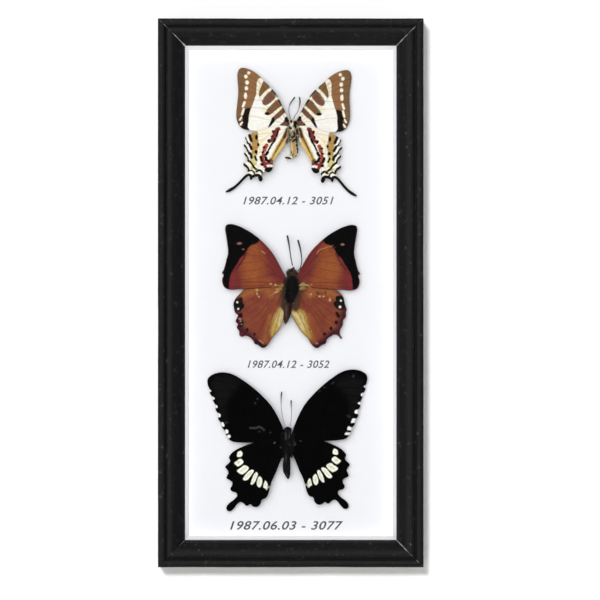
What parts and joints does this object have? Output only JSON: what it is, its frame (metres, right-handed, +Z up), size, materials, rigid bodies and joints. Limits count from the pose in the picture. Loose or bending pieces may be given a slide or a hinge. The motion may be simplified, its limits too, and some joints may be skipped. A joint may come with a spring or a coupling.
{
  "type": "framed butterfly specimen",
  "caption": "Upright shallow glazed display frame in black moulding with set butterflies on a white board, for hanging on a wall",
  "frame": {"origin": "where the wall's nail bears in the middle notch of the sawtooth hanger, on the plane of the rails' backs", "axes": "+Z up along the frame's height, +Y back into the wall, +X to the right as seen from the front"},
  "size_m": [0.152, 0.0283, 0.314],
  "materials": {
    "black_lacquer": "black lacquer over wood, semi-gloss, rubbed at edges and mitres",
    "glass": "clear picture glass",
    "liner_card": "matt white foam-core strip",
    "mount_board": "matt white board with printed captions",
    "hardboard": "brown hardboard, rough side out",
    "steel": "thin bright steel",
    "brass": "brass-plated pressed steel",
    "swordtail_wing": "cream scales with brown and black bands",
    "swordtail_body": "dry cream hair with black stripes",
    "rajah_wing": "tawny scales with a black tip and border",
    "rajah_body": "dry dark brown hair",
    "mormon_wing": "velvety black scales with cream patches",
    "mormon_body": "dry black hair",
    "antenna": "dry dark chitin"
  },
  "bodies": {
    "root": {"back_panel": "hardboard", "glass": "glass", "glazing_point_bottom_1": "steel", "glazing_point_left_1": "steel", "glazing_point_left_2": "steel", "glazing_point_left_3": "steel", "glazing_point_right_1": "steel", "glazing_point_right_2": "steel", "glazing_point_right_3": "steel", "glazing_point_top_1": "steel", "hanger_nail_left": "steel", "hanger_nail_right": "steel", "liner_bottom": "liner_card", "liner_left": "liner_card", "liner_right": "liner_card", "liner_top": "liner_card", "mormon_antenna_left": "antenna", "mormon_antenna_right": "antenna", "mormon_body": "mormon_body", "mormon_forewing_left": "mormon_wing", "mormon_forewing_right": "mormon_wing", "mormon_hindwing_left": "mormon_wing", "mormon_hindwing_right": "mormon_wing", "mount_board": "mount_board", "rail_bottom": "black_lacquer", "rail_left": "black_lacquer", "rail_right": "black_lacquer", "rail_top": "black_lacquer", "rajah_antenna_left": "antenna", "rajah_antenna_right": "antenna", "rajah_body": "rajah_body", "rajah_forewing_left": "rajah_wing", "rajah_forewing_right": "rajah_wing", "rajah_hindwing_left": "rajah_wing", "rajah_hindwing_right": "rajah_wing", "sawtooth_hanger": "brass", "swordtail_antenna_left": "antenna", "swordtail_antenna_right": "antenna", "swordtail_body": "swordtail_body", "swordtail_forewing_left": "swordtail_wing", "swordtail_forewing_right": "swordtail_wing", "swordtail_hindwing_left": "swordtail_wing", "swordtail_hindwing_right": "swordtail_wing"}
  },
  "joints": []
}
